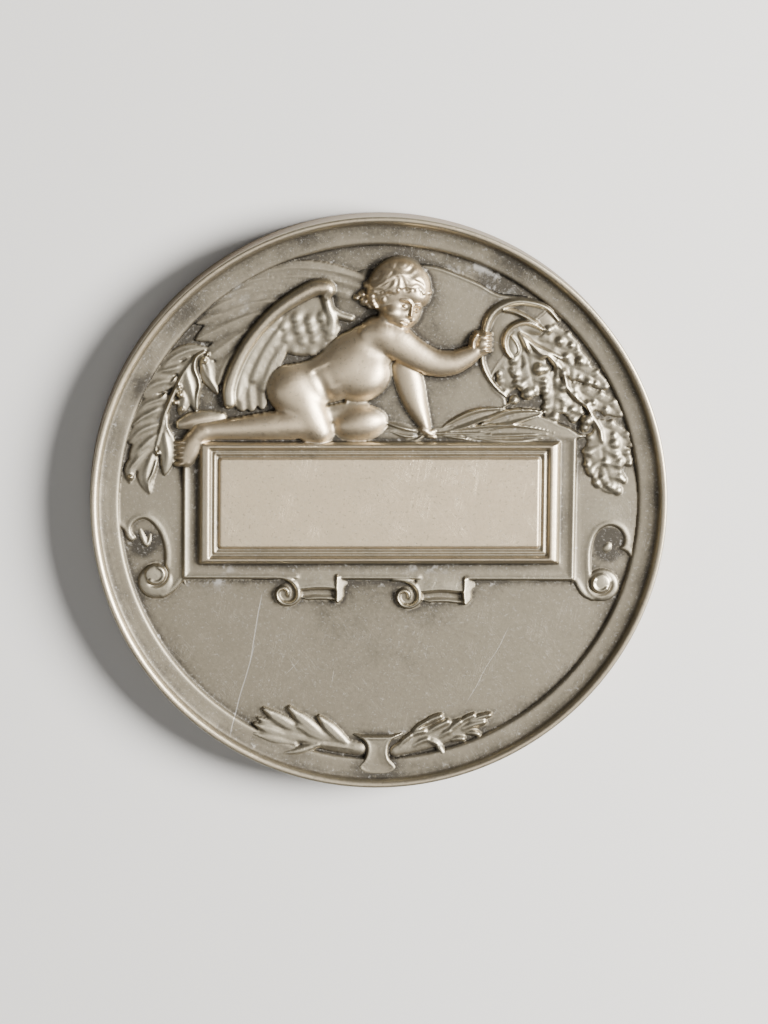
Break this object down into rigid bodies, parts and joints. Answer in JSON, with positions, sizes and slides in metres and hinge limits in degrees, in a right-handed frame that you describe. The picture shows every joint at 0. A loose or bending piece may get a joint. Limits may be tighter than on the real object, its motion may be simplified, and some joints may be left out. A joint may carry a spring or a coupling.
{
  "type": "medal",
  "caption": "Round struck medal in silvered bronze: a winged child leans on a framed blank tablet between laurel and oak sprays, inside a raised rim.",
  "frame": {"origin": "middle of the plane that the reverse rim rests on, under the medal's centre", "axes": "+Z out of the decorated face, through the 4 mm thickness; +Y towards the top of the design; +X to the viewer's right; it lies face up"},
  "size_m": [0.05, 0.05, 0.0048],
  "materials": {
    "flan": "silvered bronze, toned grey in the fields, worn to brown bronze along the edge",
    "toned": "silvered bronze with dark grey patina",
    "silvered": "silvered bronze, dark in the recesses and rubbed bright on the edges",
    "plate": "rubbed plate, warm grey with fine scratches and spots",
    "worn_relief": "silvered bronze rubbed warm on its high places"
  },
  "bodies": {
    "root": {"flan": "flan", "tablet_slab": "toned", "tablet_moulding": "silvered", "tablet_plate": "plate", "left_bracket": "silvered", "right_bracket": "silvered", "left_side_scroll": "silvered", "right_side_scroll": "silvered", "shield": "toned", "shield_curl": "silvered", "far_wing": "toned", "near_wing": "silvered", "laurel_spray": "silvered", "oak_spray": "silvered", "ledge_branch": "silvered", "putto_figure": "worn_relief", "exergue_laurel": "silvered", "exergue_oak": "silvered", "exergue_tie": "toned", "reverse_left_branch": "silvered", "reverse_right_branch": "silvered"}
  },
  "joints": []
}
